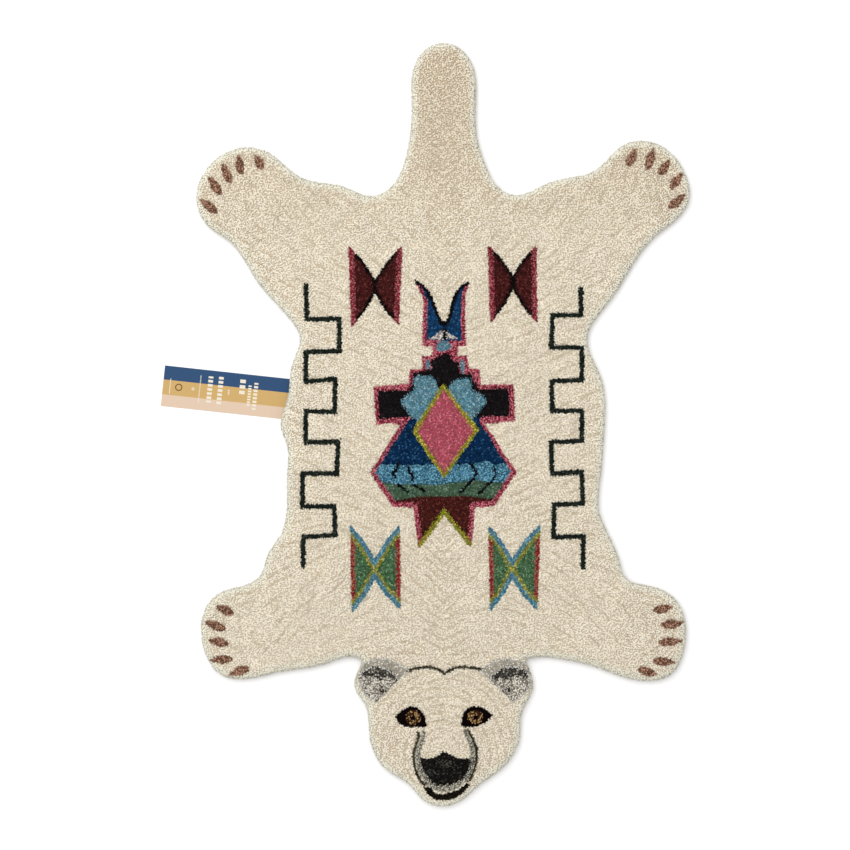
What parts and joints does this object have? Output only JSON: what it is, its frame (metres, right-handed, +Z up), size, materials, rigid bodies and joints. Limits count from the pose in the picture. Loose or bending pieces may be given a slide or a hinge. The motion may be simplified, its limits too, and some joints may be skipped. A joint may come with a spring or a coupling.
{
  "type": "tufted animal skin rug",
  "caption": "Flat hand-tufted wool rug in the outline of a bear skin, with a stepped figure, bows and key borders in coloured pile, foldable limbs and a striped card tag.",
  "frame": {"origin": "middle of the rug on the underside of its backing cloth, on the floor", "axes": "+Y from the head to the tail along the rug, +X to the right seen from above, +Z up out of the pile"},
  "size_m": [0.6633, 0.9555, 0.014],
  "materials": {
    "ivory_pile": "dense cut wool pile, ivory, with fine tan carved lines",
    "pink_pile": "dense cut wool pile, rose pink",
    "maroon_pile": "dense cut wool pile, maroon",
    "black_pile": "dense cut wool pile, black",
    "deep_blue_pile": "dense cut wool pile, deep blue",
    "light_blue_pile": "dense cut wool pile, light blue",
    "green_pile": "dense cut wool pile, bottle green",
    "lime_pile": "dense cut wool pile, lime",
    "red_pile": "dense cut wool pile, brick red",
    "white_pile": "dense cut wool pile, white",
    "border_pile": "dense cut wool pile, green-black",
    "claw_pile": "dense cut wool pile, brown",
    "grey_pile": "dense cut wool pile, grey",
    "speckled_pile": "dense cut wool pile, mixed light grey",
    "iris_pile": "dense cut wool pile, hazel",
    "backing": "plain woven cotton backing cloth",
    "latex_cloth": "woven tufting cloth locked with latex",
    "card": "printed card in three stripes",
    "thread": "cotton thread"
  },
  "bodies": {
    "trunk": {"backing_cloth_trunk": "backing", "figure_black_body": "black_pile", "figure_black_details": "black_pile", "figure_diamond": "pink_pile", "figure_diamond_border": "lime_pile", "figure_hem_lime": "lime_pile", "figure_hem_maroon": "maroon_pile", "figure_horn_blue": "deep_blue_pile", "figure_horn_white_peaks": "white_pile", "figure_light_blue_patches": "light_blue_pile", "figure_pink_outline": "pink_pile", "figure_skirt_green": "green_pile", "figure_skirt_navy": "deep_blue_pile", "figure_skirt_sky_blue": "light_blue_pile", "ivory_pile_trunk": "ivory_pile", "key_border_left": "border_pile", "key_border_right": "border_pile", "lower_bows_blue_edges": "light_blue_pile", "lower_bows_green": "green_pile", "lower_bows_lime_bands": "lime_pile", "lower_bows_red_sides": "red_pile", "tag_sewn_strip": "card", "tag_stitches": "thread", "tufting_cloth_trunk": "latex_cloth", "upper_bows_black_edges": "black_pile", "upper_bows_maroon": "maroon_pile", "upper_bows_pink_sides": "pink_pile"},
    "head": {"backing_cloth_head": "backing", "ear_hollows_dark": "black_pile", "ear_hollows_speckled": "speckled_pile", "ear_rims_grey": "grey_pile", "eyes_black": "black_pile", "face_dark_lines": "border_pile", "irises": "iris_pile", "ivory_pile_head": "ivory_pile", "mouth_black": "black_pile", "muzzle_grey_band": "grey_pile", "nose_black": "black_pile", "nose_grey_lights": "grey_pile", "tufting_cloth_head": "latex_cloth"},
    "tail": {"backing_cloth_tail": "backing", "ivory_pile_tail": "ivory_pile", "tufting_cloth_tail": "latex_cloth"},
    "hind_paw_left": {"backing_cloth_hind_paw_left": "backing", "claws_hind_paw_left": "claw_pile", "ivory_pile_hind_paw_left": "ivory_pile", "tufting_cloth_hind_paw_left": "latex_cloth"},
    "hind_paw_right": {"backing_cloth_hind_paw_right": "backing", "claws_hind_paw_right": "claw_pile", "ivory_pile_hind_paw_right": "ivory_pile", "tufting_cloth_hind_paw_right": "latex_cloth"},
    "fore_paw_left": {"backing_cloth_fore_paw_left": "backing", "claws_fore_paw_left": "claw_pile", "ivory_pile_fore_paw_left": "ivory_pile", "tufting_cloth_fore_paw_left": "latex_cloth"},
    "fore_paw_right": {"backing_cloth_fore_paw_right": "backing", "claws_fore_paw_right": "claw_pile", "ivory_pile_fore_paw_right": "ivory_pile", "tufting_cloth_fore_paw_right": "latex_cloth"},
    "tag": {"tag_card": "card"}
  },
  "joints": [
    {"name": "head_fold", "type": "hinge", "parent": "trunk", "child": "head", "pos_m": [0, -0.29, 0.014], "axis": [-1, 0, 0], "range_deg": [0, 165]},
    {"name": "tail_fold", "type": "hinge", "parent": "trunk", "child": "tail", "pos_m": [0, 0.315, 0.014], "axis": [1, 0, 0], "range_deg": [0, 165]},
    {"name": "hind_paw_left_fold", "type": "hinge", "parent": "trunk", "child": "hind_paw_left", "pos_m": [-0.206, 0.261, 0.014], "axis": [0.5807, 0.8141, 0], "range_deg": [0, 165]},
    {"name": "hind_paw_right_fold", "type": "hinge", "parent": "trunk", "child": "hind_paw_right", "pos_m": [0.206, 0.266, 0.014], "axis": [0.5807, -0.8141, 0], "range_deg": [0, 165]},
    {"name": "fore_paw_left_fold", "type": "hinge", "parent": "trunk", "child": "fore_paw_left", "pos_m": [-0.219, -0.228, 0.014], "axis": [-0.4384, 0.8988, 0], "range_deg": [0, 165]},
    {"name": "fore_paw_right_fold", "type": "hinge", "parent": "trunk", "child": "fore_paw_right", "pos_m": [0.219, -0.228, 0.014], "axis": [-0.4384, -0.8988, 0], "range_deg": [0, 165]},
    {"name": "tag_flap", "type": "hinge", "parent": "trunk", "child": "tag", "pos_m": [-0.205, 0.032, 0.0006], "axis": [0.108, 0.9942, 0], "range_deg": [0, 85]}
  ]
}
